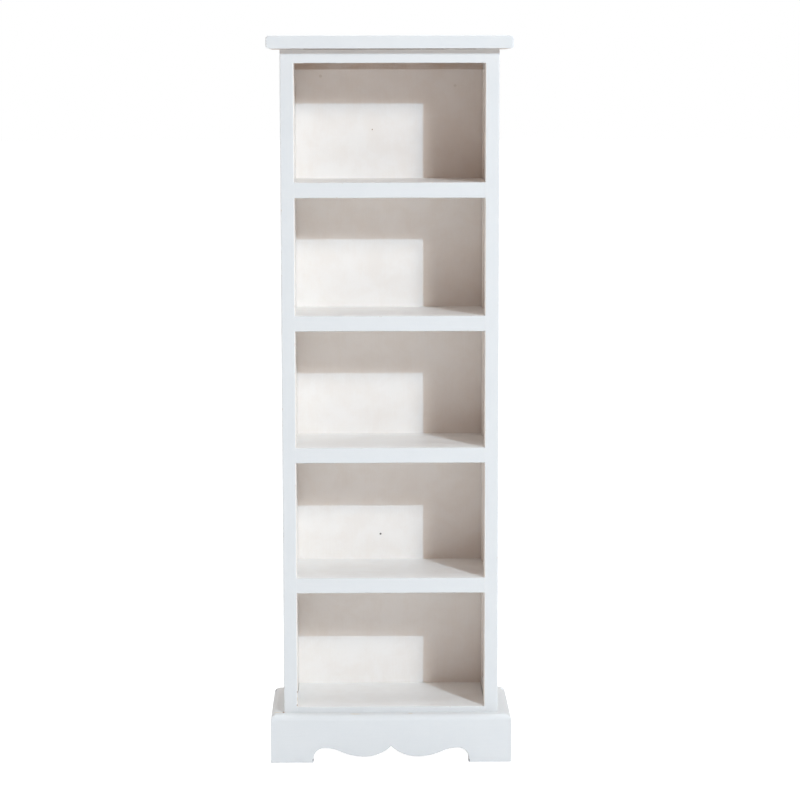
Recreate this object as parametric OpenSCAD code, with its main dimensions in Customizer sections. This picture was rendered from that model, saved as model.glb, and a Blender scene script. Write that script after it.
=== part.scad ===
// Miniature five-compartment bookcase: painted wood, frame-and-panel sides,
// a rounded top board and a scalloped plinth.
// Origin: centre of the footprint, on the floor. The open front faces -Y.

/* [Carcass] */
// Outside width of the carcass, between the top board and the plinth
carcass_w = 55.3; // [48:0.1:64]
// Depth of the carcass, front face to back face
carcass_d = 28; // [24:0.1:36]
// Clear height of each compartment
opening_h = 29.9; // [24:0.1:36]

/* [Posts] */
// Width of a front stile, seen from the front
stile_w = 3.5; // [3.2:0.1:4.4]
// Depth of a front stile and of a rear post
post_d = 6.2; // [5.6:0.1:7]
// Thickness of the side frames: the rear posts and the side rails
side_t = 3.175; // [3:0.025:3.2]

/* [Rails] */
// Height of the front rail under the top board
top_rail_h = 3.6; // [3:0.1:4.6]
// Height of the front rail of a shelf
shelf_rail_h = 3.95; // [3.4:0.05:5]
// Thickness of a front rail, front to back
rail_d = 3.5; // [3.2:0.1:4.2]
// How far the side and rear top rails hang below the front one
top_rail_drop = 1.6; // [1.2:0.1:3]
// Height of the bottom front rail that shows above the plinth
bottom_rail_show = 1.4; // [1:0.1:3]
// Height of the front, side and rear bottom rails
bottom_rail_h = 6; // [5:0.1:6.4]
// How far the bottom side rails stand above the floor board
bottom_side_rise = 3; // [2:0.1:3.6]

/* [Boards and panels] */
// Thickness of a shelf board and of the floor board
shelf_t = 2; // [1.8:0.1:2.6]
// Thickness of the side panels and of the back panel
panel_t = 0.8; // [0.6:0.1:1]

/* [Top board] */
// Thickness of the top board
top_t = 3.25; // [2.8:0.05:4.5]
// How far the top board and the plinth stand out, at the front and the sides
overhang = 3.4; // [2.4:0.1:4.4]
// Radius of the top board's rounded ends
top_end_r = 0.8; // [0.4:0.05:1.3]
// Radius of the top board's front edges
top_front_r = 0.25; // [0.1:0.05:0.6]

/* [Plinth] */
// Height of the plinth
plinth_h = 12.5; // [11.6:0.1:14]
// Radius of the plinth's rounded top edge
plinth_edge_r = 1.6; // [0.6:0.1:2.2]
// Width of a front foot at the floor
foot_w = 11; // [9:0.1:12]
// Height of the cut-out beside each foot
arch_h = 3.8; // [3.4:0.1:5]
// Radius of the cut-out's corner beside each foot
arch_corner_r = 2.8; // [2:0.1:3.2]
// Distance of a scallop's lowest point from the middle
lobe_x = 6.75; // [5.5:0.05:8]
// Height of a scallop's lowest point above the floor
lobe_low = 1.5; // [1:0.1:2]
// Height of the point between the two scallops
cusp_h = 4.3; // [3.9:0.1:5.5]

/* [Hidden] */
$fn = 64;

paint = [0.91, 0.93, 0.94];
inside_paint = [0.93, 0.92, 0.90];
bare_wood = [0.80, 0.66, 0.47];
steel = [0.62, 0.62, 0.60];

compartments = 5;

// Joinery
tenon_l = 1.2;       // length of a front rail's tenon
tenon_t = 1.2;       // thickness of every tenon
side_tenon_l = 1.5;  // length of a side rail's tenon
rear_tenon_l = 1;    // length of a rear rail's tenon
shoulder = 0.6;      // tenon shoulder above and below
groove = 1;          // depth of the grooves that hold the side panels
tongue_l = 0.8;      // length of a board's tongue
tongue_t = 0.8;      // thickness of a board's tongue
rebate_w = 1.6;      // width of the rear posts' rebate for the back panel
dowel_r = 0.7;       // dowels between the top board and the posts
dowel_l = 3.2;
brad_r = 0.25;       // brads that hold the back panel
brad_l = 2.8;
brad_head_r = 0.45;
brad_head_t = 0.2;
over = 0.5;          // how far a cutting shape runs past what it cuts

// Across: half widths from the middle
half_w = carcass_w / 2;
stile_in = half_w - stile_w;
side_in = half_w - side_t;
side_mid = half_w - side_t / 2;
panel_in = side_mid - panel_t / 2;
panel_out = side_mid + panel_t / 2;
outer_half = half_w + overhang;

// Depth, measured back from the carcass's front face
face_y = overhang - (carcass_d + overhang) / 2;
post_y = carcass_d - post_d;
inner_d = carcass_d - panel_t;
rear_rail_y = inner_d - side_t;

// Heights above the floor
floor_z = plinth_h + bottom_rail_show;
pitch = opening_h + shelf_rail_h;
top_opening_z = floor_z + compartments * pitch - shelf_rail_h;
post_top = top_opening_z + top_rail_h;
side_top_z = top_opening_z - top_rail_drop;
side_bottom_z = floor_z + bottom_side_rise;
rear_bottom_z = floor_z - shelf_t;

// Top face of the shelf that is n-th from the top
function shelf_z(n) = floor_z + (compartments - n) * pitch;

// Height ranges of the rails
top_front_span = [top_opening_z, post_top];
bottom_front_span = [floor_z - bottom_rail_h, floor_z];
top_side_span = [side_top_z, post_top];
bottom_side_span = [side_bottom_z - bottom_rail_h, side_bottom_z];
rear_bottom_span = [rear_bottom_z - bottom_rail_h, rear_bottom_z];
function shelf_span(n) = [shelf_z(n) - shelf_rail_h, shelf_z(n)];
front_spans = concat([top_front_span], [for (n = [1:4]) shelf_span(n)], [bottom_front_span]);

// Tenons keep clear of the panels in their grooves
function plain_tenon(span) = [span[0] + shoulder, span[1] - shoulder];
top_side_tenon = [top_side_span[0] + groove + 0.2, top_side_span[1] - shoulder];
bottom_side_tenon = [bottom_side_span[0] + shoulder, bottom_side_span[1] - groove - 0.2];

// Plinth cut-out, from the middle outwards: an arc down to the scallop's lowest point,
// a sweep of two arcs up to the crest, and a quarter circle down to the foot
arc_steps = 14;
foot_in = outer_half - foot_w;
peak_x = foot_in - arch_corner_r;
lobe_r = (pow(lobe_x, 2) + pow(cusp_h - lobe_low, 2)) / (2 * (cusp_h - lobe_low));
cusp_angle = atan2(cusp_h - lobe_low - lobe_r, -lobe_x);
sweep_dx = peak_x - lobe_x;
sweep_dz = arch_h - lobe_low;
sweep_r = (pow(sweep_dx, 2) + pow(sweep_dz, 2)) / (2 * sweep_dz);
sweep_angle = asin(sweep_dx / sweep_r);
rise_r = 0.61 * sweep_r;
crest_r = sweep_r - rise_r;

// Points of an arc after its first one, counted in degrees from +X
function arc(centre, r, from, to) = [
    for (i = [1:arc_steps])
        let (a = from + (to - from) * i / arc_steps)
        centre + r * [cos(a), sin(a)]];

// Brads: up both rear posts, and along the rails and shelves
brad_x = side_in + rebate_w / 2;
brad_rows = 6;
brad_low = side_bottom_z + 6;
brad_high = side_top_z - 6;
brad_step = (brad_high - brad_low) / (brad_rows - 1);
post_brads = [for (s = [-1, 1], i = [0:brad_rows - 1]) [s * brad_x, brad_low + i * brad_step]];
cross_heights = concat(
    [(top_side_span[0] + top_side_span[1]) / 2, (rear_bottom_span[0] + rear_bottom_span[1]) / 2],
    [for (n = [1:4]) shelf_z(n) - shelf_t / 2]);
cross_brads = [for (s = [-1, 1], z = cross_heights) [s * stile_in / 2, z]];
brad_places = concat(post_brads, cross_brads);

// A block between two corners: y is measured back from the carcass's front face
module slab(x, y, z) {
    translate([x[0], face_y + y[0], z[0]])
        cube([x[1] - x[0], y[1] - y[0], z[1] - z[0]]);
}

// The part is drawn for the right-hand side; side -1 mirrors it to the left
module on_side(side) {
    mirror([side < 0 ? 1 : 0, 0, 0]) children();
}

module dowel(x, y) {
    translate([x, face_y + y, post_top - dowel_l / 2]) cylinder(r = dowel_r, h = dowel_l);
}

module all_dowels() {
    for (side = [-1, 1]) on_side(side) {
        dowel(half_w - stile_w / 2, post_d / 2);
        dowel(side_mid, carcass_d - post_d * 0.6);
    }
}

module all_brads() {
    for (p = brad_places)
        translate([p[0], face_y + carcass_d, p[1]]) rotate([90, 0, 0]) {
            cylinder(r = brad_r, h = brad_l);
            cylinder(r = brad_head_r, h = brad_head_t);
        }
}

// Top board: ends rounded, front edges softened, back edge flush and square
module rounded_bar(length, depth, height, r) {
    // Section in X and Z with all four corners rounded, run along Y
    translate([0, depth, 0]) rotate([90, 0, 0]) linear_extrude(depth) {
        translate([r, 0]) square([length - 2 * r, height]);
        translate([0, r]) square([length, height - 2 * r]);
        for (x = [r, length - r], z = [r, height - r]) translate([x, z]) circle(r);
    }
}

module top_board() {
    board_d = carcass_d + overhang;
    color(paint) difference() {
        translate([-outer_half, face_y - overhang, post_top]) intersection() {
            rounded_bar(2 * outer_half, board_d, top_t, top_end_r);
            // A section turned the other way, which softens the front edges
            translate([2 * outer_half, 0, 0]) rotate([0, 0, 90])
                intersection() {
                    rounded_bar(board_d + 3 * top_front_r, 2 * outer_half, top_t, top_front_r);
                    cube([board_d, 2 * outer_half, top_t]);
                }
        }
        all_dowels();
    }
}

// Front stile: mortises for the front rails and side rails, groove for the side panel
module front_stile(side) {
    color(paint) difference() {
        on_side(side) difference() {
            slab([stile_in, half_w], [0, post_d], [0, post_top]);
            for (span = front_spans) front_tenon(span);
            side_tenon([post_d - side_tenon_l, post_d + over], top_side_tenon);
            side_tenon([post_d - side_tenon_l, post_d + over], bottom_side_tenon);
            slab([panel_in, panel_out], [post_d - groove, post_d + over],
                 [side_bottom_z - groove, side_top_z + groove]);
        }
        all_dowels();
    }
}

// Rear post: rebated for the back panel
module rear_post(side) {
    color(paint) difference() {
        on_side(side) difference() {
            slab([side_in, half_w], [post_y, carcass_d], [0, post_top]);
            side_tenon([post_y - over, post_y + side_tenon_l], top_side_tenon);
            side_tenon([post_y - over, post_y + side_tenon_l], bottom_side_tenon);
            slab([panel_in, panel_out], [post_y - over, post_y + groove],
                 [side_bottom_z - groove, side_top_z + groove]);
            rear_tenon(plain_tenon(top_side_span));
            rear_tenon(plain_tenon(rear_bottom_span));
            slab([side_in - over, side_in + rebate_w], [inner_d, carcass_d + over],
                 [rear_bottom_span[0], post_top + over]);
        }
        all_dowels();
        all_brads();
    }
}

// Tenons, drawn at the right-hand end of a rail
module front_tenon(span) {
    y = [(rail_d - tenon_t) / 2, (rail_d + tenon_t) / 2];
    slab([stile_in - over, stile_in + tenon_l], y, plain_tenon(span));
}

module side_tenon(y, z) {
    slab([side_mid - tenon_t / 2, side_mid + tenon_t / 2], y, z);
}

module rear_tenon(z) {
    mid = rear_rail_y + side_t / 2;
    slab([side_in - over, side_in + rear_tenon_l], [mid - tenon_t / 2, mid + tenon_t / 2], z);
}

// Front rail between the stiles; board_top is the top face of the board behind it
module front_rail(span) {
    slab([-stile_in, stile_in], [0, rail_d], span);
    for (side = [-1, 1]) on_side(side) front_tenon(span);
}

module grooved_front_rail(span, board_top) {
    color(paint) difference() {
        front_rail(span);
        board_tongue(board_top, over);
    }
}

module board_tongue(board_top, extra = 0) {
    mid = board_top - shelf_t / 2;
    slab([-stile_in, stile_in], [rail_d - tongue_l, rail_d + extra],
         [mid - tongue_t / 2, mid + tongue_t / 2]);
}

module side_rail(side, span, tenon_z, groove_z) {
    color(paint) on_side(side) difference() {
        union() {
            slab([side_in, half_w], [post_d, post_y], span);
            side_tenon([post_d - side_tenon_l, post_y + side_tenon_l], tenon_z);
        }
        slab([panel_in, panel_out], [post_d - side_tenon_l - over, post_y + side_tenon_l + over],
             groove_z);
    }
}

module rear_rail(span) {
    color(paint) difference() {
        union() {
            slab([-side_in, side_in], [rear_rail_y, inner_d], span);
            for (side = [-1, 1]) on_side(side) rear_tenon(plain_tenon(span));
        }
        all_brads();
    }
}

module side_panel(side) {
    color(inside_paint) on_side(side)
        slab([panel_in, panel_out], [post_d - groove, post_y + groove],
             [side_bottom_z - groove, side_top_z + groove]);
}

module back_panel() {
    color(inside_paint) difference() {
        slab([-side_in - rebate_w, side_in + rebate_w], [inner_d, carcass_d],
             [rear_bottom_span[0], post_top]);
        all_brads();
    }
}

// Shelf board: reaches the side panels between the posts, and is tongued into its rail
module shelf_board(n) {
    z = [shelf_z(n) - shelf_t, shelf_z(n)];
    color(inside_paint) difference() {
        union() {
            slab([-stile_in, stile_in], [rail_d, post_d], z);
            slab([-panel_in, panel_in], [post_d, post_y], z);
            slab([-side_in, side_in], [post_y, inner_d], z);
            board_tongue(shelf_z(n));
        }
        all_brads();
    }
}

module floor_board() {
    z = [floor_z - shelf_t, floor_z];
    color(inside_paint) {
        slab([-stile_in, stile_in], [rail_d, post_d], z);
        slab([-side_in, side_in], [post_d, inner_d], z);
        board_tongue(floor_z);
    }
}

// Outline of the scalloped front board, in X and Z
module scalloped_outline() {
    right = concat(
        arc([lobe_x, lobe_low + lobe_r], lobe_r, cusp_angle, -90),
        arc([lobe_x, lobe_low + rise_r], rise_r, -90, sweep_angle - 90),
        arc([peak_x, arch_h - crest_r], crest_r, sweep_angle + 90, 90),
        arc([peak_x, arch_h - arch_corner_r], arch_corner_r, 90, 0),
        [[foot_in, 0], [outer_half, 0], [outer_half, plinth_h]]);
    left = [for (i = [len(right) - 1:-1:0]) [-right[i][0], right[i][1]]];
    polygon(concat([[0, cusp_h]], right, left));
}

// What the rounded top edge takes off a board that runs along X
module edge_waste(length) {
    r = plinth_edge_r;
    translate([-length / 2, 0, plinth_h]) rotate([90, 0, 90]) linear_extrude(length)
        difference() {
            translate([-over, -r]) square([r + over, r + over]);
            translate([r, -r]) circle(r);
        }
}

// Plan of the mitred front corners, from the front edge back to the carcass
module mitre_plan() {
    translate([0, face_y]) polygon([
        [-outer_half, -overhang], [outer_half, -overhang], [half_w, 0], [-half_w, 0]]);
}

module plinth_front() {
    color(paint) intersection() {
        difference() {
            translate([0, face_y, 0]) rotate([90, 0, 0]) linear_extrude(overhang)
                scalloped_outline();
            translate([0, face_y - overhang, 0]) edge_waste(2 * outer_half + 2 * over);
        }
        linear_extrude(plinth_h) mitre_plan();
    }
}

module plinth_side(side) {
    length = carcass_d + overhang;
    color(paint) on_side(side) difference() {
        slab([half_w, outer_half], [-overhang, carcass_d], [0, plinth_h]);
        translate([0, 0, -over]) linear_extrude(plinth_h + 2 * over) mitre_plan();
        translate([outer_half, face_y - overhang + length / 2, 0]) rotate([0, 0, 90])
            edge_waste(length + 2 * over);
    }
}

module top_dowels() {
    color(bare_wood) all_dowels();
}

module back_brads() {
    color(steel) all_brads();
}

top_board();
front_stile(-1);  // front_stile_left
front_stile(1);  // front_stile_right
color(paint) front_rail(top_front_span);  // top_rail_front
grooved_front_rail(shelf_span(1), shelf_z(1));  // shelf_rail_1
grooved_front_rail(shelf_span(2), shelf_z(2));  // shelf_rail_2
grooved_front_rail(shelf_span(3), shelf_z(3));  // shelf_rail_3
grooved_front_rail(shelf_span(4), shelf_z(4));  // shelf_rail_4
grooved_front_rail(bottom_front_span, floor_z);  // bottom_rail_front
rear_post(-1);  // rear_post_left
rear_post(1);  // rear_post_right
rear_rail(top_side_span);  // top_rail_rear
rear_rail(rear_bottom_span);  // bottom_rail_rear
side_rail(-1, top_side_span, top_side_tenon, [side_top_z - over, side_top_z + groove]);  // top_rail_left
side_rail(1, top_side_span, top_side_tenon, [side_top_z - over, side_top_z + groove]);  // top_rail_right
side_rail(-1, bottom_side_span, bottom_side_tenon, [side_bottom_z - groove, side_bottom_z + over]);  // bottom_rail_left
side_rail(1, bottom_side_span, bottom_side_tenon, [side_bottom_z - groove, side_bottom_z + over]);  // bottom_rail_right
side_panel(-1);  // side_panel_left
side_panel(1);  // side_panel_right
back_panel();
shelf_board(1);  // shelf_board_1
shelf_board(2);  // shelf_board_2
shelf_board(3);  // shelf_board_3
shelf_board(4);  // shelf_board_4
floor_board();
plinth_front();
plinth_side(-1);  // plinth_left
plinth_side(1);  // plinth_right
top_dowels();
back_brads();
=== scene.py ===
"""The looks of the miniature bookcase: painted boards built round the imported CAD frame."""

import math

import bmesh
import bpy
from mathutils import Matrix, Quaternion, Vector, noise


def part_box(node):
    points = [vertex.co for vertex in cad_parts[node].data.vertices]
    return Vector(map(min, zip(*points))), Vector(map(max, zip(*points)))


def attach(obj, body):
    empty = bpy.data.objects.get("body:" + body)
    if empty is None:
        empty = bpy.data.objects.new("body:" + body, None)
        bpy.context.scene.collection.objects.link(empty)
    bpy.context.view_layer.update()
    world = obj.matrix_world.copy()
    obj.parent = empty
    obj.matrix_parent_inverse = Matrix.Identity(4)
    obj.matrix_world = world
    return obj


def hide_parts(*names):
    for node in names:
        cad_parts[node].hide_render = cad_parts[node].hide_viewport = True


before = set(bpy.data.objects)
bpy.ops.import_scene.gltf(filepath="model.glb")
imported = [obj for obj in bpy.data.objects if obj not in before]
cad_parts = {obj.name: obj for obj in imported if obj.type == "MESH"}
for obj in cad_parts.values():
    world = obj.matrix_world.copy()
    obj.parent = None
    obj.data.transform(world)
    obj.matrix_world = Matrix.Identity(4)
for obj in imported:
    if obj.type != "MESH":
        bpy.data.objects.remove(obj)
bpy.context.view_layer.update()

MM = 0.001

# How the wood was worked, in metres
FREE_EDGE = 0.24 * MM       # radius of an edge that hands touch, sanded round before painting
INNER_EDGE = 0.15 * MM      # radius of an edge inside the case, broken with one stroke
JOINT_EDGE = 0.03 * MM      # radius of an edge in a flush glued joint
PLINTH_ROUND = 1.6 * MM     # radius of the plinth's top edge
CREVICE = 0.12 * MM         # the groove where two boards meet
WIDE_CREVICE = 1.8 * CREVICE    # the groove at an inner corner that the brush didn't fill
TENON_DEPTH = 1.2 * MM      # thickness of the rails' tenons
TENON_SHOULDER = 0.6 * MM   # how far a tenon stays inside its rail, above and below
FOOT_W = 11.0 * MM          # width of the plinth's feet
RAMP = 0.35 * MM            # the length over which an edge's rounding begins
UNEVEN = 0.3                # how much the sanding varies an edge's radius
BARE_AND_SHADE = 2.0                   # the "edge" attribute of points painted old-wood brown: partly bare wood, partly painted shade in creases and under edges

# How the meshes are divided
ARC_STEPS = 5               # facets round a quarter circle
BOARD_STEP = 3.0 * MM       # spacing of the mesh lines on a board
SUPPORT = 0.35 * MM         # distance of the first mesh line from a rounded edge
HAIR = 0.01 * MM            # the width of a step in a board's plan
SHARP_ANGLE = math.radians(32)  # two faces that meet at more than this keep a sharp edge
TURNED_AWAY = 0.35          # a normal's share of an axis from which a face looks that way

GLOW_SHARE = 0.74           # how much of the floor's colour is glow, where the camera sees it

# The frame's own levels and places
stile_low, stile_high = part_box("front_stile_right")
post_low, post_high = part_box("rear_post_right")
panel_low, panel_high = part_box("side_panel_right")
back_low, back_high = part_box("back_panel")
plinth_low, plinth_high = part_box("plinth_front")
side_rail_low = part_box("top_rail_right")[0]
side_foot_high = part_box("bottom_rail_right")[1]
STILE_IN = stile_low.x
SIDE_IN = post_low.x
HALF_W = stile_high.x
OUTER = plinth_high.x
FOOT_IN = OUTER - FOOT_W
FACE_Y = stile_low.y
SIDES = ((1, "right"), (-1, "left"))
RAILS = ["top_rail_front"] + [f"shelf_rail_{n}" for n in range(1, 5)] + ["bottom_rail_front"]
rail_spans = [(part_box(name)[0].z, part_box(name)[1].z) for name in RAILS]


# ---------------------------------------------------------------- mesh code

def side_points(start, end, count):
    """Points between two corners of a section: one close to each, the rest evenly spaced."""
    length = (end - start).length
    if count == 0 or length < 4 * HAIR:
        return [start.lerp(end, (i + 1) / (count + 1)) for i in range(count)]
    if count == 1:
        return [start.lerp(end, 0.5)]
    support = min(SUPPORT, length / (count + 2))
    first, last = support / length, 1 - support / length
    return [start.lerp(end, first + (last - first) * i / (count - 1)) for i in range(count)]


def section(corners, counts, inset=0.0):
    """A closed section with square turns. corners are (a, b, radius, gives, bare_and_shaded),
    anticlockwise;
    gives says how much of the inset the side after that corner takes, and bare_and_shaded which
    points of the corner are painted old-wood brown, partly as bare wood and partly as painted
    shade. Returns (point, edge)."""
    places = [Vector((corner[0], corner[1])) for corner in corners]
    total = len(corners)
    turns = []
    for i, here in enumerate(places):
        ahead = (places[(i + 1) % total] - here).normalized()
        behind = (here - places[i - 1]).normalized()
        inward_in = Vector((-behind.y, behind.x))
        inward_out = Vector((-ahead.y, ahead.x))
        moved = here + inset * (corners[i - 1][3] * inward_in + corners[i][3] * inward_out)
        radius = max(corners[i][2] - inset, 0.1 * corners[i][2])
        outward = 1 if behind.x * ahead.y - behind.y * ahead.x > 0 else -1
        centre = moved + outward * radius * (inward_in + inward_out)
        arc = []
        for step in range(ARC_STEPS + 1):
            angle = math.pi / 2 * step / ARC_STEPS
            reach = inward_in * math.cos(angle) + inward_out * math.sin(angle)
            arc.append(centre - outward * radius * reach)
        turns.append(arc)
    points = []
    for i, arc in enumerate(turns):
        worn = wear_of(max(corners[i][2], inset))
        bare_and_shaded = corners[i][4]
        points += [(p, BARE_AND_SHADE if step in bare_and_shaded else worn) for step, p in enumerate(arc)]
        rim = BARE_AND_SHADE if ARC_STEPS in bare_and_shaded else 0.6 if inset > 0 else 0.0
        points += [(p, rim) for p in side_points(arc[-1], turns[(i + 1) % total][0], counts[i])]
    return points


def wear_of(radius):
    """How much a rounded edge is rubbed: a small radius wears, a big one hardly."""
    return min(1.0, radius / FREE_EDGE) if radius < 0.6 * MM else 0.25


def side_counts(corners, step):
    """How many mesh points each side of a section needs between its corners."""
    counts = []
    for i, (a, b, *_) in enumerate(corners):
        ahead = corners[(i + 1) % len(corners)]
        length = math.hypot(ahead[0] - a, ahead[1] - b)
        counts.append(max(2, round(length / step) + 1) if length > 4 * SUPPORT else 0)
    return counts


def loft(name, axis, stations, side=1):
    """A closed mesh through sections along an axis. A station is (place, points); place is a
    number, or a function of a section's point. side -1 mirrors the mesh in X."""
    mesh = bpy.data.meshes.new(name)
    build = bmesh.new()
    edge_layer = build.verts.layers.float.new("edge")
    rings = []
    for place, points in stations:
        ring = []
        for (a, b), worn in points:
            co = Vector((0, 0, 0))
            co[axis] = place(a, b) if callable(place) else place
            co[(axis + 1) % 3] = a
            co[(axis + 2) % 3] = b
            co.x *= side
            vert = build.verts.new(co)
            vert[edge_layer] = worn
            ring.append(vert)
        rings.append(ring)
    count = len(rings[0])
    for ring, ahead in zip(rings, rings[1:]):
        for i in range(count):
            k = (i + 1) % count
            build.faces.new((ring[i], ring[k], ahead[k], ahead[i]))
    build.faces.new(list(reversed(rings[0])))
    build.faces.new(rings[-1])
    bmesh.ops.recalc_face_normals(build, faces=build.faces)
    build.to_mesh(mesh)
    build.free()
    obj = bpy.data.objects.new(name, mesh)
    bpy.context.scene.collection.objects.link(obj)
    return obj


def round_depth(radius, depth):
    """How far a quarter-round edge has fallen back at this depth from its rim."""
    if depth >= radius:
        return 0.0
    return radius - math.sqrt(max(radius ** 2 - (radius - depth) ** 2, 0.0))


def stations_between(low, high, ends, marks, step):
    """Places along a board, with the inset of each: rounded ends, marks, and even spacing."""
    places = {}
    for place, direction, radius in ((low, 1, ends[0]), (high, -1, ends[1])):
        for i in range(ARC_STEPS + 1 if radius > 0 else 1):
            angle = math.pi / 2 * i / ARC_STEPS
            depth = radius * (1 - math.cos(angle))
            places[place + direction * depth] = radius * (1 - math.sin(angle))
    first = low + ends[0]
    last = high - ends[1]
    spaces = max(1, round((last - first) / step))
    even = [first + (last - first) * i / spaces for i in range(1, spaces)]
    for mark in [m for m in marks if first + HAIR < m < last - HAIR] + even:
        if all(abs(mark - other) > HAIR / 2 for other in places):
            places[mark] = 0.0
    return sorted(places.items())


def board(name, node, axis, span, corners, ends=(0, 0), marks=(), side=1, tenons=None,
          step=BOARD_STEP):
    """A board along an axis. corners(place) gives its section there; tenons is the section of
    the tenons on its ends, with their length."""
    counts = side_counts(corners((span[0] + span[1]) / 2), step)
    stations = []
    for place, inset in stations_between(span[0], span[1], ends, marks, step):
        stations.append((place, section(corners(place), counts, inset)))
    for i in (0, -1):
        stations[i] = (stations[i][0], [(p, 0.0) for p, _ in stations[i][1]])
    if tenons:
        tenon_corners, length = tenons
        tongue = [(p, 0.0) for p, _ in section(tenon_corners, counts)]
        stations = ([(span[0] - length, tongue), (span[0], tongue)] + stations
                    + [(span[1], tongue), (span[1] + length, tongue)])
    obj = loft(name, axis, stations, side)
    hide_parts(node)
    return obj


def worn_radius(radius, place, seed):
    """An edge's radius, which the sanding left a little uneven."""
    return radius * (1 + UNEVEN * noise.noise(Vector((place / (7 * MM), seed, 0.5))))


def open_radius(place, closed_spans, radius):
    """An edge's radius: nothing where another board is flush with it, full between them."""
    gap = min(max(low - place, place - high) for low, high in closed_spans)
    share = min(1.0, max(0.0, gap / RAMP))
    return JOINT_EDGE + (radius - JOINT_EDGE) * share


def span_marks(spans):
    """Places where a board's mesh needs a line, at both sides of each span's ends."""
    return [m for low, high in spans for m in (low - RAMP, low, high, high + RAMP)]


def rectangle(a, b, radii, bare_and_shaded=((), (), (), ())):
    """Corners of a rectangle, from its low corner anticlockwise."""
    places = [(a[0], b[0]), (a[1], b[0]), (a[1], b[1]), (a[0], b[1])]
    return [(p[0], p[1], r, 1, w) for p, r, w in zip(places, radii, bare_and_shaded)]


def tenon_section(low, high):
    """Section of the tenons of a rail that runs along X."""
    middle = (low.y + high.y) / 2
    return rectangle((middle - TENON_DEPTH / 2, middle + TENON_DEPTH / 2),
                     (low.z + TENON_SHOULDER, high.z - TENON_SHOULDER), (JOINT_EDGE,) * 4)


# ---------------------------------------------------------------- materials

class Shader:
    """A node material, built up by short calls."""

    def __init__(self, name):
        self.material = bpy.data.materials.new(name)
        self.material.use_nodes = True
        self.nodes = self.material.node_tree.nodes
        self.links = self.material.node_tree.links
        self.principled = self.nodes["Principled BSDF"]
        self.coordinates = self.node("ShaderNodeTexCoord").outputs["Object"]

    def node(self, kind, inputs=(), **settings):
        made = self.nodes.new(kind)
        for key, value in settings.items():
            setattr(made, key, value)
        for key, value in dict(inputs).items():
            self.put(made.inputs[key], value)
        return made

    def put(self, socket, value):
        if isinstance(value, bpy.types.NodeSocket):
            self.links.new(value, socket)
        else:
            socket.default_value = value

    def stretched(self, scale):
        """Object coordinates, scaled along each axis."""
        return self.node("ShaderNodeMapping", {
            "Vector": self.coordinates, "Scale": scale}).outputs[0]

    def noise(self, size, vector=None, detail=3.0, rough=0.55, distortion=0.0):
        """Noise with features of this size, in metres where the vector isn't stretched."""
        return self.node("ShaderNodeTexNoise", {
            "Vector": vector or self.coordinates, "Scale": 1 / size, "Detail": detail,
            "Roughness": rough, "Distortion": distortion}).outputs["Fac"]

    def math(self, operation, first, second=0.0, clamp=False):
        return self.node("ShaderNodeMath", {0: first, 1: second}, operation=operation,
                         use_clamp=clamp).outputs[0]

    def ramp(self, value, low, high, to_low=0.0, to_high=1.0):
        """value, moved from the range low-high to the range to_low-to_high, smoothly."""
        return self.node("ShaderNodeMapRange", {
            "Value": value, "From Min": low, "From Max": high,
            "To Min": to_low, "To Max": to_high}, interpolation_type="SMOOTHSTEP").outputs[0]

    def mix(self, share, first, second):
        made = self.node("ShaderNodeMix", data_type="RGBA")
        self.put(made.inputs[0], share)
        self.put(made.inputs[6], first)
        self.put(made.inputs[7], second)
        return made.outputs[2]

    def spot(self, centre, radius, fuzz=0.35):
        """1 inside a small round mark at this place, 0 outside it."""
        gap = self.node("ShaderNodeVectorMath", {0: self.coordinates, 1: centre},
                        operation="SUBTRACT").outputs[0]
        scaled = self.node("ShaderNodeVectorMath", {0: gap, 1: [1 / r for r in radius]},
                           operation="MULTIPLY").outputs[0]
        reach = self.node("ShaderNodeVectorMath", {0: scaled}, operation="LENGTH").outputs["Value"]
        return self.ramp(reach, 1 + fuzz, 1 - fuzz)


WOOD = (0.42, 0.26, 0.16, 1)
OLD_WOOD_AND_SHADE = (0.23, 0.155, 0.115, 1)
WHITE = (0.755, 0.741, 0.724, 1)
WHITE_SHADE = (0.738, 0.727, 0.713, 1)
# INSIDE is lighter than WHITE: partly the inside's own warmer paint, partly painted light standing
# in for the bounce light inside the case
INSIDE = (0.924, 0.862, 0.809, 1)
INSIDE_SHADE = (0.906, 0.834, 0.772, 1)
# SHELF is lighter still: partly painted sheen on the shelves and the rails' tops
SHELF = (0.955, 0.928, 0.898, 1)
SHELF_SHADE = (0.935, 0.903, 0.868, 1)
THIN_PAINT_AND_SHADE = (0.63, 0.53, 0.465, 1)
THIN_PAINT_AND_SHADE_TONE = (0.55, 0.445, 0.375, 1)
STEEL = (0.50, 0.50, 0.49, 1)
RUST = (0.23, 0.12, 0.06, 1)
BIRCH_DARK = (0.62, 0.44, 0.26, 1)
BIRCH_LIGHT = (0.74, 0.58, 0.38, 1)
BROWN = (0.33, 0.20, 0.12, 1)
NAIL_DARK = (0.05, 0.035, 0.03, 1)
CREAM = (0.76, 0.68, 0.55, 1)
FADED = (0.72, 0.64, 0.52, 1)
FILLED = (0.80, 0.73, 0.66, 1)
DARK_GREY = (0.10, 0.10, 0.11, 1)
PAINTED_HIGHLIGHT = (0.93, 0.94, 0.95, 1)


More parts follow.
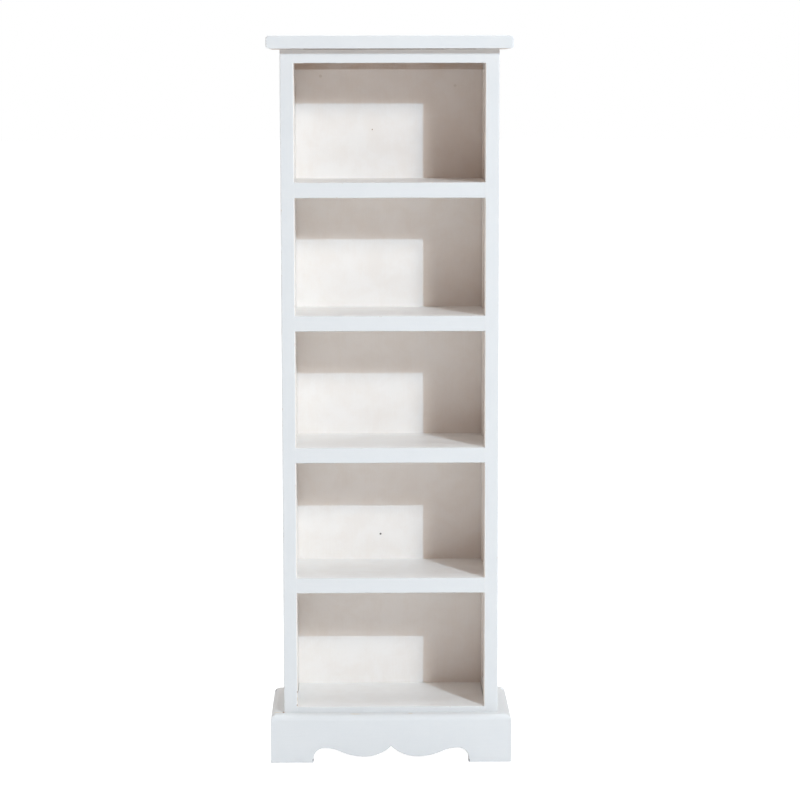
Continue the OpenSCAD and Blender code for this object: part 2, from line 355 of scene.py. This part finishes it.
def painted(name, colour, shade, grain, wear, cover, coat=0.42, streaky=0.4, marks=()):
    """Brushed paint over wood. grain is the axis the boards run along, wear how much wood shows
    at the edges, cover how well the paint hides the wood, coat the roughness of the paint, and
    marks the small spots in it."""
    s = Shader(name)
    along = [1.0, 1.0, 1.0]
    along[grain] = 0.07
    streaks = s.noise(0.45 * MM, s.stretched(along), detail=4)
    blotches = s.noise(7 * MM, detail=4, rough=0.6, distortion=0.4)
    pebbles = s.noise(0.5 * MM, detail=3, rough=0.65)
    pores = s.noise(0.16 * MM, detail=2)

    # The paint's two tones, in blotches, streaks and pebbles
    tone = s.math("ADD", s.math("MULTIPLY", blotches, 0.75 - streaky),
                  s.math("MULTIPLY", streaks, streaky))
    tone = s.math("ADD", tone, s.math("MULTIPLY", pebbles, 0.25))
    surface = s.mix(s.ramp(tone, 0.38, 0.62), colour, shade)

    # Wood, seen faintly where the paint is thin
    fibres = s.noise(0.22 * MM, s.stretched([c if c < 1 else 1.3 for c in along]), detail=5)
    wood = s.mix(s.ramp(fibres, 0.3, 0.7), WOOD, [min(1, c * 1.5) for c in WOOD[:3]] + [1])
    thin = s.ramp(s.math("ADD", blotches, s.math("MULTIPLY", streaks, 0.5)), 0.62, 1.0)
    through = s.math("MULTIPLY", thin, 1 - cover, clamp=True)
    surface = s.mix(through, surface, wood)

    # Wood at the edges: rubbed through in patches, and old-wood brown where the edge attribute asks
    # for it, which is partly bare wood and partly painted shade in creases and under edges
    edge = s.node("ShaderNodeAttribute", attribute_name="edge").outputs["Fac"]
    patches = s.ramp(s.noise(1.3 * MM, detail=5, rough=0.7), 0.60, 0.74)
    rubbed = s.math("MULTIPLY", s.math("POWER", s.math("MINIMUM", edge, 1.0), 3.0), patches)
    rubbed = s.math("MULTIPLY", rubbed, wear, clamp=True)
    gaps = s.noise(2.2 * MM, s.stretched([0.5 if c < 1 else c for c in along]), detail=4)
    bare_and_shade = s.math("MULTIPLY", s.ramp(edge, 1.4, 1.9), s.ramp(gaps, 0.30, 0.42, 0.0, 0.85))
    surface = s.mix(rubbed, surface, wood)
    surface = s.mix(bare_and_shade, surface, OLD_WOOD_AND_SHADE)
    rubbed = s.math("MAXIMUM", rubbed, bare_and_shade)
    for centre, radius, mark_colour in marks:
        surface = s.mix(s.spot(centre, radius), surface, mark_colour)
    s.put(s.principled.inputs["Base Color"], surface)

    shine = s.math("ADD", s.ramp(streaks, 0.3, 0.7, coat - 0.05, coat + 0.07),
                   s.math("MULTIPLY", rubbed, 0.3))
    s.put(s.principled.inputs["Roughness"], shine)
    s.principled.inputs["Specular IOR Level"].default_value = 0.5

    height = s.math("ADD", s.math("MULTIPLY", pebbles, 0.6),
                    s.math("MULTIPLY", streaks, streaky * 0.8))
    height = s.math("ADD", height, s.math("MULTIPLY", pores, 0.2))
    bump = s.node("ShaderNodeBump", {"Strength": 0.45, "Distance": 0.04 * MM, "Height": height})
    s.put(s.principled.inputs["Normal"], bump.outputs[0])
    return s.material


def steel(name):
    """Plain steel with fine scratches and a little rust."""
    s = Shader(name)
    rust = s.ramp(s.noise(0.25 * MM, detail=4), 0.52, 0.68, 0.0, 0.7)
    colour = s.mix(rust, STEEL, RUST)
    s.put(s.principled.inputs["Base Color"], colour)
    s.principled.inputs["Metallic"].default_value = 0.85
    s.put(s.principled.inputs["Roughness"], s.ramp(s.noise(0.1 * MM), 0.3, 0.7, 0.35, 0.6))
    return s.material


def birch(name):
    """Bare turned dowel, grain along Z."""
    s = Shader(name)
    fibres = s.noise(0.2 * MM, s.stretched((1, 1, 0.06)), detail=5)
    colour = s.mix(s.ramp(fibres, 0.3, 0.7), BIRCH_DARK, BIRCH_LIGHT)
    s.put(s.principled.inputs["Base Color"], colour)
    s.principled.inputs["Roughness"].default_value = 0.7
    bump = s.node("ShaderNodeBump", {"Strength": 0.4, "Distance": 0.03 * MM, "Height": fibres})
    s.put(s.principled.inputs["Normal"], bump.outputs[0])
    return s.material


# Marks in the paint: centre, radius along each axis, colour
plinth_chips = [
    ((-9.2 * MM, FACE_Y - 1.9 * MM, plinth_high.z), (1.4 * MM, 0.3 * MM, 0.4 * MM), FADED),
    ((5.0 * MM, FACE_Y - 1.6 * MM, plinth_high.z), (0.6 * MM, 0.3 * MM, 0.4 * MM), FADED),
    ((-29.4 * MM, FACE_Y + 0.2 * MM, plinth_high.z), (1.3 * MM, 0.35 * MM, 0.4 * MM), CREAM),
    ((-HALF_W - 0.1 * MM, FACE_Y, plinth_high.z), (0.3 * MM, 0.5 * MM, 0.3 * MM), BROWN),
    # a dark grey spot at the left side board's rear top corner
    ((-OUTER + 0.3 * MM, -FACE_Y + 3.0 * MM, plinth_high.z - 0.6 * MM),
     (0.6 * MM, 1.2 * MM, 0.5 * MM), DARK_GREY),
    # painted highlight: a white spot where light catches the right side board's rear top corner
    ((OUTER - 0.9 * MM, -FACE_Y + 1.6 * MM, plinth_high.z - 0.2 * MM),
     (0.45 * MM, 0.9 * MM, 0.4 * MM), PAINTED_HIGHLIGHT),
    # painted shadow: dark grey spots where each foot's inner edge meets the floor
    ((-FOOT_IN, plinth_low.y, 0.7 * MM), (0.22 * MM, 0.5 * MM, 0.35 * MM), DARK_GREY),
    ((FOOT_IN, plinth_low.y, 0.5 * MM), (0.22 * MM, 0.5 * MM, 0.35 * MM), DARK_GREY),
]
stile_marks = [
    ((-STILE_IN, FACE_Y, 14.4 * MM), (0.22 * MM, 0.4 * MM, 0.2 * MM), BROWN),
    ((-STILE_IN, FACE_Y, 16.0 * MM), (0.13 * MM, 0.3 * MM, 0.5 * MM), FADED),
    ((-STILE_IN, FACE_Y, 17.9 * MM), (0.13 * MM, 0.3 * MM, 0.3 * MM), BROWN),
]
back_marks = [
    ((-17.8 * MM, back_low.y, 175.9 * MM), (0.40 * MM, 0.3 * MM, 0.40 * MM), FILLED),
    ((17.4 * MM, back_low.y, 173.4 * MM), (0.35 * MM, 0.3 * MM, 0.35 * MM), FILLED),
    ((-4.3 * MM, back_low.y, 162.0 * MM), (0.16 * MM, 0.3 * MM, 0.16 * MM), BROWN),
    ((-2.4 * MM, back_low.y, 54.5 * MM), (0.25 * MM, 0.3 * MM, 0.25 * MM), NAIL_DARK),
]
X, Y, Z = 0, 1, 2
outside = {axis: painted(f"white_paint_{'xyz'[axis]}", WHITE, WHITE_SHADE, axis, 0.5, 1.0,
                         streaky=0.25)
           for axis in (X, Y, Z)}
clean_paint = painted("white_paint_top", WHITE, WHITE_SHADE, X, 0.08, 1.0, streaky=0.25)
plinth_paint = painted("white_paint_plinth", WHITE, WHITE_SHADE, X, 0.6, 1.0, streaky=0.25,
                       marks=plinth_chips)
stile_paint = painted("white_paint_stile", WHITE, WHITE_SHADE, Z, 0.5, 1.0, streaky=0.25,
                      marks=stile_marks)
inside = {axis: painted(f"inside_paint_{'xyz'[axis]}", INSIDE, INSIDE_SHADE, axis, 0.6, 0.97,
                        streaky=0.15)
          for axis in (X, Y, Z)}
stile_inside = painted("inside_paint_stile", INSIDE, INSIDE_SHADE, Z, 0.6, 0.97, streaky=0.15,
                       marks=stile_marks)
shelf_paint = painted("inside_paint_shelf", SHELF, SHELF_SHADE, X, 0.6, 0.97, coat=0.40,
                      streaky=0.15)
back_paint = painted("inside_paint_back", INSIDE, INSIDE_SHADE, Z, 0.5, 0.97, streaky=0.1,
                     marks=back_marks)
# dark thin paint, partly the wood's own colour and partly painted shade on parts that stand only in
# shade
thin_paint_and_shade = painted("thin_paint_and_shade", THIN_PAINT_AND_SHADE, THIN_PAINT_AND_SHADE_TONE, X, 1.0, 0.75, coat=0.6)
steel_heads = steel("steel")
dowel_wood = birch("birch")


def finish_piece(obj, material, behind=None, is_behind=None):
    """Smooth shading that keeps the flats flat, the finish, and the body it rides on. Faces
    that is_behind picks by their normal get the paint of the inside."""
    obj.data.materials.append(material)
    if behind:
        obj.data.materials.append(behind)
    for face in obj.data.polygons:
        face.use_smooth = True
        if behind and is_behind(face.normal):
            face.material_index = 1
    obj.data.set_sharp_from_angle(angle=SHARP_ANGLE)
    weighted = obj.modifiers.new("flats", "WEIGHTED_NORMAL")
    weighted.keep_sharp = True
    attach(obj, "root")


# ---------------------------------------------------------------- the carcass

def make_stile(side, word):
    """Front stile: its inner edge is rounded only between the rails that are flush with it."""
    side_spans = [(0.0, side_foot_high.z), (side_rail_low.z, stile_high.z)]
    seed = 3.0 + side

    def corners(z):
        inner = worn_radius(open_radius(z, rail_spans, FREE_EDGE), z, seed)
        outer = worn_radius(FREE_EDGE, z, seed + 5)
        rear = open_radius(z, side_spans, INNER_EDGE)
        radii = (inner, outer, rear, INNER_EDGE)
        return rectangle((STILE_IN, HALF_W), (FACE_Y, stile_high.y), radii)

    obj = board(f"stile_{word}", f"front_stile_{word}", Z, (0, stile_high.z), corners,
                ends=(INNER_EDGE, CREVICE), marks=span_marks(rail_spans) + span_marks(side_spans),
                side=side)
    # the inner faces get the lighter inside paint, partly as painted light on faces that stand in
    # shade
    finish_piece(obj, stile_paint, stile_inside,
                 lambda normal: normal.x * side < -TURNED_AWAY or normal.y > TURNED_AWAY)


def make_post(side, word):
    """Rear post, rebated on its inner back edge for the back panel."""
    side_spans = [(0.0, side_foot_high.z), (side_rail_low.z, post_high.z)]
    rebate_x = back_high.x
    foot_z = back_low.z

    def corners(z):
        front = open_radius(z, side_spans, INNER_EDGE)
        notch = rebate_x if z > foot_z else SIDE_IN + HAIR
        turns = [(SIDE_IN, post_low.y, FREE_EDGE, ()), (HALF_W, post_low.y, front, ()),
                 (HALF_W, post_high.y, FREE_EDGE, ()), (notch, post_high.y, JOINT_EDGE, ()),
                 (notch, back_low.y, JOINT_EDGE, ()),
                 # painted shade: the crease between the post and the back panel is painted old-wood
                 # brown, partly as bare wood
                 (SIDE_IN, back_low.y, WIDE_CREVICE, range(2, ARC_STEPS))]
        return [(a, b, radius, 1, bare_and_shaded) for a, b, radius, bare_and_shaded in turns]

    marks = span_marks(side_spans) + [foot_z - HAIR, foot_z + HAIR]
    obj = board(f"post_{word}", f"rear_post_{word}", Z, (0, post_high.z), corners, marks=marks,
                ends=(INNER_EDGE, CREVICE), side=side)
    finish_piece(obj, inside[Z])


def make_front_rail(node, top_open, bottom_open, seed):
    """Front rail between the stiles, with its tenons. The back of an open lower edge is painted
    old-wood brown, partly bare wood and partly painted shade under the edge; a top edge that
    another board covers is painted dark as the shade in the crease under that board."""
    low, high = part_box(node)
    bare_and_shaded = (range(3, ARC_STEPS + 1) if bottom_open else (), (), (),
           () if top_open else range(0, ARC_STEPS))

    def corners(x):
        top = worn_radius(FREE_EDGE if top_open else WIDE_CREVICE, x, seed)
        bottom = worn_radius(FREE_EDGE if bottom_open else JOINT_EDGE, x, seed + 2)
        return rectangle((low.y, high.y), (low.z, high.z), (bottom, INNER_EDGE, JOINT_EDGE, top),
                         bare_and_shaded)

    obj = board(f"{node}_board", node, X, (-STILE_IN, STILE_IN), corners,
                tenons=(tenon_section(low, high), high.x - STILE_IN))
    # faces that don't face the front get the lighter shelf paint, partly painted light and sheen
    finish_piece(obj, outside[X], shelf_paint,
                 lambda normal: normal.y > -TURNED_AWAY)


def make_side_rail(side, word, level, open_corner):
    """Side rail between a stile and a post. open_corner is 0 if its lower edges show, and 1 if
    its upper ones do."""
    node = f"{level}_rail_{word}"
    low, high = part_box(f"{level}_rail_right")
    shoulder = 1.2 * MM
    radii = [JOINT_EDGE] * 4
    for corner in ((0, 3), (1, 2))[open_corner]:
        radii[corner] = INNER_EDGE

    def corners(_):
        return rectangle((low.z, high.z), (SIDE_IN, HALF_W), radii)

    tenon = rectangle((low.z + shoulder, high.z - shoulder), (panel_low.x, panel_high.x),
                      (JOINT_EDGE,) * 4)
    span = (stile_high.y, post_low.y)
    obj = board(f"{node}_board", node, Y, span, corners, side=side,
                tenons=(tenon, high.y - post_low.y))
    finish_piece(obj, outside[Y])


def make_rear_rail(node, material):
    """Rear rail, in front of the back panel."""
    low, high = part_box(node)

    def corners(_):
        return rectangle((low.y, high.y), (low.z, high.z),
                         (INNER_EDGE, JOINT_EDGE, JOINT_EDGE, JOINT_EDGE))

    obj = board(f"{node}_board", node, X, (-SIDE_IN, SIDE_IN), corners,
                tenons=(tenon_section(low, high), high.x - SIDE_IN))
    finish_piece(obj, material)


def make_side_panel(side, word):
    """Side panel, in the grooves of its frame."""
    def corners(_):
        return rectangle((panel_low.x, panel_high.x), (panel_low.y, panel_high.y),
                         (JOINT_EDGE,) * 4)

    obj = board(f"side_panel_{word}_board", f"side_panel_{word}", Z, (panel_low.z, panel_high.z),
                corners, side=side)
    finish_piece(obj, inside[Z])


def make_back_panel():
    """Back panel, flush behind in the rebates of the posts."""
    def corners(_):
        return rectangle((back_low.x, back_high.x), (back_low.y, back_high.y), (JOINT_EDGE,) * 4)

    obj = board("back_panel_board", "back_panel", Z, (back_low.z, back_high.z), corners)
    finish_piece(obj, back_paint)


def make_shelf(node, has_ears):
    """Shelf or floor board, notched round the stiles and posts, tongued into its rail."""
    low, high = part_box(node)
    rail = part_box("bottom_rail_front" if node == "floor_board" else node.replace("board", "rail"))
    front_y = rail[1].y
    ear_x = high.x if has_ears else SIDE_IN - CREVICE
    rear_x = SIDE_IN - (0 if has_ears else CREVICE)

    def corners(y):
        half = STILE_IN if y < stile_high.y else ear_x if y < post_low.y else rear_x
        return rectangle((low.z, high.z), (-half, half), (JOINT_EDGE,) * 4)

    marks = [y + d for y in (stile_high.y, post_low.y) for d in (-HAIR, HAIR)]
    obj = board(f"{node}_board", node, Y, (front_y, high.y), corners, ends=(0, CREVICE),
                marks=marks)
    finish_piece(obj, shelf_paint)


# ---------------------------------------------------------------- top board and plinth

def make_top_board():
    """Top board: its ends are rounded over, its front edges just sanded. Its underside gets the
    dark thin paint, partly the wood's own colour and partly painted shade, so that less light
    bounces onto the rail below."""
    low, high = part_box("top_board")
    end_r = 0.8 * MM
    corner_r = 0.35 * MM

    def corners(x):
        depth = min(x - low.x, high.x - x)
        short = round_depth(end_r, depth)
        upper = worn_radius(FREE_EDGE, x, 11.0)
        lower = worn_radius(INNER_EDGE, x, 15.0)
        return rectangle((low.y + round_depth(corner_r, depth), high.y),
                         (low.z + short, high.z - short),
                         (lower, INNER_EDGE, INNER_EDGE, upper))

    steps = 10
    depths = [end_r * (1 - math.cos(math.pi / 2 * i / steps)) for i in range(1, steps + 1)]
    marks = [low.x + d for d in depths] + [high.x - d for d in depths]
    obj = board("top_board_board", "top_board", X, (low.x, high.x), corners, marks=marks)
    finish_piece(obj, clean_paint, thin_paint_and_shade, lambda normal: normal.z < -0.98)


def arc(centre, radius, start, end, steps=12):
    """Points of an arc after its first one, with their outward normals, angles in degrees."""
    points = []
    for i in range(1, steps + 1):
        angle = math.radians(start + (end - start) * i / steps)
        reach = Vector((math.cos(angle), math.sin(angle)))
        points.append((Vector(centre) + radius * reach, reach))
    return points


def scallop(foot_in):
    """Right half of the scalloped lower edge, as (point, direction into the wood)."""
    arch, corner_r = 3.8 * MM, 2.8 * MM
    lobe_x, lobe_low, cusp = 6.75 * MM, 1.5 * MM, 4.3 * MM
    peak_x = foot_in - corner_r
    lobe_r = (lobe_x ** 2 + (cusp - lobe_low) ** 2) / (2 * (cusp - lobe_low))
    run, rise = peak_x - lobe_x, arch - lobe_low
    sweep_r = (run ** 2 + rise ** 2) / (2 * rise)
    sweep = math.degrees(math.asin(run / sweep_r))
    rise_r = 0.61 * sweep_r
    crest_r = sweep_r - rise_r
    cusp_angle = math.degrees(math.atan2(cusp - lobe_low - lobe_r, -lobe_x))
    hollow = arc((lobe_x, lobe_low + lobe_r), lobe_r, cusp_angle, -90)
    hollow += arc((lobe_x, lobe_low + rise_r), rise_r, -90, sweep - 90)
    crest = arc((peak_x, arch - crest_r), crest_r, sweep + 90, 90)
    crest += arc((peak_x, arch - corner_r), corner_r, 90, 0)
    points = [(Vector((0, cusp)), Vector((0, 1)))]
    points += [(p, -n) for p, n in hollow] + crest
    points += [(Vector((foot_in, FREE_EDGE)), Vector((1, 0)))]
    return points


def make_plinth_front():
    """Scalloped front board: lower edge softened, top edge rounded over, ends mitred."""
    low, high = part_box("plinth_front")
    thick = high.y - low.y
    top_steps = 24              # mesh spaces along the top edge
    right = scallop(FOOT_IN)
    left = [(Vector((-p.x, p.y)), Vector((-n.x, n.y))) for p, n in reversed(right[1:])]
    depths = sorted({round(r * (1 - math.cos(math.pi / 2 * i / 6)), 7)
                     for r in (FREE_EDGE, PLINTH_ROUND) for i in range(7)} | {thick})
    stations = []
    for depth in depths:
        soft = round_depth(FREE_EDGE, depth)
        top = high.z - round_depth(PLINTH_ROUND, depth)
        end = OUTER - depth
        outline = [(Vector((-end, soft * 0.5)), 0.3), (Vector((-FOOT_IN - soft, soft * 0.5)), 0.5)]
        rim = 1.0 if 0 < depth < FREE_EDGE else 0.0
        outline += [(p + n * soft, rim) for p, n in left + right]
        outline += [(Vector((FOOT_IN + soft, soft * 0.5)), 0.5), (Vector((end, soft * 0.5)), 0.3)]
        rounded = 0.35 if 0 < depth < PLINTH_ROUND else 0.0
        outline += [(Vector((end * (1 - 2 * i / top_steps), top)), rounded)
                    for i in range(top_steps + 1)]
        # Axis Y runs (z, x), so the outline is turned to match
        stations.append((low.y + depth, [((p.y, p.x), e) for p, e in outline]))
    obj = loft("plinth_front_board", Y, stations)
    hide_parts("plinth_front")
    finish_piece(obj, plinth_paint)


def make_plinth_side(side, word):
    """Side board: top edge rounded over, front end mitred."""
    low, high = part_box("plinth_right")
    radii = (INNER_EDGE, JOINT_EDGE, PLINTH_ROUND, INNER_EDGE)
    corners = rectangle((low.z, high.z), (HALF_W, OUTER), radii)
    counts = side_counts(corners, BOARD_STEP)
    ring = section(corners, counts)
    front_y = low.y

    def mitre(_, x):
        return front_y + OUTER - x

    stations = [(mitre, ring)]
    first = front_y + (OUTER - HALF_W) + 0.4 * MM
    steps = round((high.y - first) / BOARD_STEP)
    stations += [(first + (high.y - first) * i / steps, ring) for i in range(steps)]
    for i in range(ARC_STEPS + 1):
        angle = math.pi / 2 * i / ARC_STEPS
        soft = INNER_EDGE * (1 - math.cos(angle))
        place = high.y - INNER_EDGE * (1 - math.sin(angle))
        stations.append((place, section(corners, counts, soft)))
    obj = loft(f"plinth_{word}_board", Y, stations, side)
    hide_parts(f"plinth_{word}")
    finish_piece(obj, plinth_paint)


# ---------------------------------------------------------------- brads and dowels

def shell_places(node):
    """The middle, low and high corners of each separate solid in a CAD node."""
    source = bmesh.new()
    source.from_mesh(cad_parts[node].data)
    bmesh.ops.remove_doubles(source, verts=source.verts, dist=HAIR / 10)
    seen, found = set(), []
    for start in source.verts:
        if start in seen:
            continue
        group, queue = [], [start]
        seen.add(start)
        while queue:
            vert = queue.pop()
            group.append(vert.co.copy())
            for link in vert.link_edges:
                other = link.other_vert(vert)
                if other not in seen:
                    seen.add(other)
                    queue.append(other)
        lows = Vector([min(co[i] for co in group) for i in range(3)])
        highs = Vector([max(co[i] for co in group) for i in range(3)])
        found.append(((lows + highs) / 2, lows, highs))
    source.free()
    return found


def turned(build, centre, axis, profile, sides_round=20):
    """Adds a closed turned solid to a mesh. profile is (distance along axis, radius)."""
    rings = []
    for along, radius in profile:
        ring = []
        for i in range(sides_round):
            angle = 2 * math.pi * i / sides_round
            co = Vector(centre)
            co[axis] = along
            co[(axis + 1) % 3] += radius * math.cos(angle)
            co[(axis + 2) % 3] += radius * math.sin(angle)
            ring.append(build.verts.new(co))
        rings.append(ring)
    for ring, ahead in zip(rings, rings[1:]):
        for i in range(sides_round):
            k = (i + 1) % sides_round
            build.faces.new((ring[i], ring[k], ahead[k], ahead[i]))
    build.faces.new(list(reversed(rings[0])))
    build.faces.new(rings[-1])


def make_turned_group(name, node, axis, profile_of, material):
    """One piece of turned solids, one for each separate solid of a CAD node."""
    mesh = bpy.data.meshes.new(name)
    build = bmesh.new()
    for centre, lows, highs in shell_places(node):
        turned(build, centre, axis, profile_of(lows, highs))
    bmesh.ops.recalc_face_normals(build, faces=build.faces)
    build.to_mesh(mesh)
    build.free()
    obj = bpy.data.objects.new(name, mesh)
    bpy.context.scene.collection.objects.link(obj)
    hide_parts(node)
    finish_piece(obj, material)


def brad_profile(lows, highs):
    """Point, shank and slightly domed head, which stands just proud of the panel."""
    head, shank, proud = (highs.x - lows.x) / 2, 0.25 * MM, 0.06 * MM
    front, back = lows.y, highs.y
    return [(front, 0.03 * MM), (front + 0.5 * MM, shank), (back - 0.2 * MM, shank),
            (back - 0.18 * MM, head), (back, head), (back + proud * 0.7, head * 0.75),
            (back + proud, head * 0.3)]


def dowel_profile(lows, highs):
    """Dowel with chamfered ends."""
    radius, chamfer = (highs.x - lows.x) / 2, 0.15 * MM
    return [(lows.z, radius - chamfer), (lows.z + chamfer, radius),
            (highs.z - chamfer, radius), (highs.z, radius - chamfer)]


# ---------------------------------------------------------------- build the object

for side, word in SIDES:
    make_stile(side, word)
    make_post(side, word)
    make_side_rail(side, word, "top", 0)
    make_side_rail(side, word, "bottom", 1)
    make_side_panel(side, word)
    make_plinth_side(side, word)
make_front_rail("top_rail_front", False, True, 21.0)
for n in range(1, 5):
    make_front_rail(f"shelf_rail_{n}", True, True, 21.0 + 4 * n)
    make_shelf(f"shelf_board_{n}", True)
make_front_rail("bottom_rail_front", True, False, 47.0)
make_shelf("floor_board", False)
# painted shade: the rear top rail, always in the top compartment's shade, gets the dark thin paint
make_rear_rail("top_rail_rear", thin_paint_and_shade)
make_rear_rail("bottom_rail_rear", inside[X])
make_back_panel()
make_top_board()
make_plinth_front()
make_turned_group("brads", "back_brads", Y, brad_profile, steel_heads)
make_turned_group("dowels", "top_dowels", Z, dowel_profile, dowel_wood)


# ---------------------------------------------------------------- floor, light and camera

def make_floor():
    """A pale floor, lifted towards white where the camera sees it, so shadows stay soft."""
    mesh = bpy.data.meshes.new("floor")
    reach = 6.0
    build = bmesh.new()
    bmesh.ops.create_circle(build, cap_ends=True, radius=reach, segments=96)
    build.to_mesh(mesh)
    build.free()
    floor = bpy.data.objects.new("floor", mesh)
    bpy.context.scene.collection.objects.link(floor)
    s = Shader("floor_white")
    s.principled.inputs["Base Color"].default_value = (0.9, 0.9, 0.9, 1)
    s.principled.inputs["Roughness"].default_value = 0.9
    glow = s.node("ShaderNodeEmission", {"Color": (1, 1, 1, 1), "Strength": 1.4})
    path = s.node("ShaderNodeLightPath")
    share = s.math("MULTIPLY", path.outputs["Is Camera Ray"], GLOW_SHARE)
    seen = s.node("ShaderNodeMixShader", {0: share, 1: s.principled.outputs[0],
                                          2: glow.outputs[0]})
    s.links.new(seen.outputs[0], s.nodes["Material Output"].inputs["Surface"])
    floor.data.materials.append(s.material)


def make_light(name, place, target, size, power, colour, shape="DISK"):
    """A flat light at a place, turned towards a target."""
    data = bpy.data.lights.new(name, "AREA")
    data.shape = shape
    data.size = size
    data.energy = power
    data.color = colour
    light = bpy.data.objects.new(name, data)
    light.location = place
    direction = Vector(target) - Vector(place)
    light.rotation_mode = "QUATERNION"
    light.rotation_quaternion = direction.to_track_quat("-Z", "Y")
    bpy.context.scene.collection.objects.link(light)
    return light


def even_out(light):
    """Makes a light fade more slowly with distance, as one farther away would."""
    light.data.use_nodes = True
    nodes, links = light.data.node_tree.nodes, light.data.node_tree.links
    falloff = nodes.new("ShaderNodeLightFalloff")
    falloff.inputs["Strength"].default_value = 1.0
    links.new(falloff.outputs["Linear"], nodes["Emission"].inputs["Strength"])


def make_world(strength):
    """White where the camera sees it, and a weak warm light on the object."""
    world = bpy.data.worlds.new("studio")
    world.use_nodes = True
    nodes, links = world.node_tree.nodes, world.node_tree.links
    nodes.clear()
    output = nodes.new("ShaderNodeOutputWorld")
    seen = nodes.new("ShaderNodeBackground")
    lit = nodes.new("ShaderNodeBackground")
    mix = nodes.new("ShaderNodeMixShader")
    path = nodes.new("ShaderNodeLightPath")
    seen.inputs["Color"].default_value = (1, 1, 1, 1)
    seen.inputs["Strength"].default_value = 1.0
    lit.inputs["Color"].default_value = (1.28, 0.95, 0.83, 1)
    lit.inputs["Strength"].default_value = strength
    links.new(path.outputs["Is Camera Ray"], mix.inputs[0])
    links.new(lit.outputs[0], mix.inputs[1])
    links.new(seen.outputs[0], mix.inputs[2])
    links.new(mix.outputs[0], output.inputs["Surface"])
    bpy.context.scene.world = world


top_open_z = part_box("top_rail_front")[0].z
KEY_PLACE = Vector((0.330, FACE_Y - 0.544, top_open_z + 0.210))
MIDDLE = (0, 0, 0.09)
make_floor()
even_out(make_light("key", KEY_PLACE, MIDDLE, 0.008, 2.5, (0.557, 0.845, 1.119)))
make_light("halo", KEY_PLACE * 1.15, MIDDLE, 0.16, 2.28, (1.04, 1.03, 0.975))
make_light("overhead", (0, 0.15, 0.9), (0, 0, 0.1), 0.8, 5.0, (0.92, 1.05, 1.11), "SQUARE")
make_light("left", (-0.8, 0.05, 0.40), MIDDLE, 0.5, 2.3, (0.91, 1.04, 1.09), "SQUARE")
make_light("right", (0.8, 0.10, 0.40), MIDDLE, 0.5, 1.4, (0.92, 1.02, 1.06), "SQUARE")
make_world(0.2)

CAMERA_PLACE = Vector((-0.0068, FACE_Y - 0.6672, top_open_z - 0.0015))
CAMERA_YAW, CAMERA_PITCH, CAMERA_ROLL = 0.0139, -0.1249, -0.0015
camera_data = bpy.data.cameras.new("camera")
camera_data.lens = 118.6
camera_data.sensor_width = 36.0
camera_data.clip_start = 0.01
camera = bpy.data.objects.new("camera", camera_data)
camera.location = CAMERA_PLACE
heading = Vector((math.sin(CAMERA_YAW) * math.cos(CAMERA_PITCH),
                  math.cos(CAMERA_YAW) * math.cos(CAMERA_PITCH), math.sin(CAMERA_PITCH)))
camera.rotation_mode = "QUATERNION"
turn = heading.to_track_quat("-Z", "Y")
camera.rotation_quaternion = turn @ Quaternion((0, 0, 1), CAMERA_ROLL)
bpy.context.scene.collection.objects.link(camera)
bpy.context.scene.camera = camera
bpy.context.scene.view_settings.view_transform = "Standard"
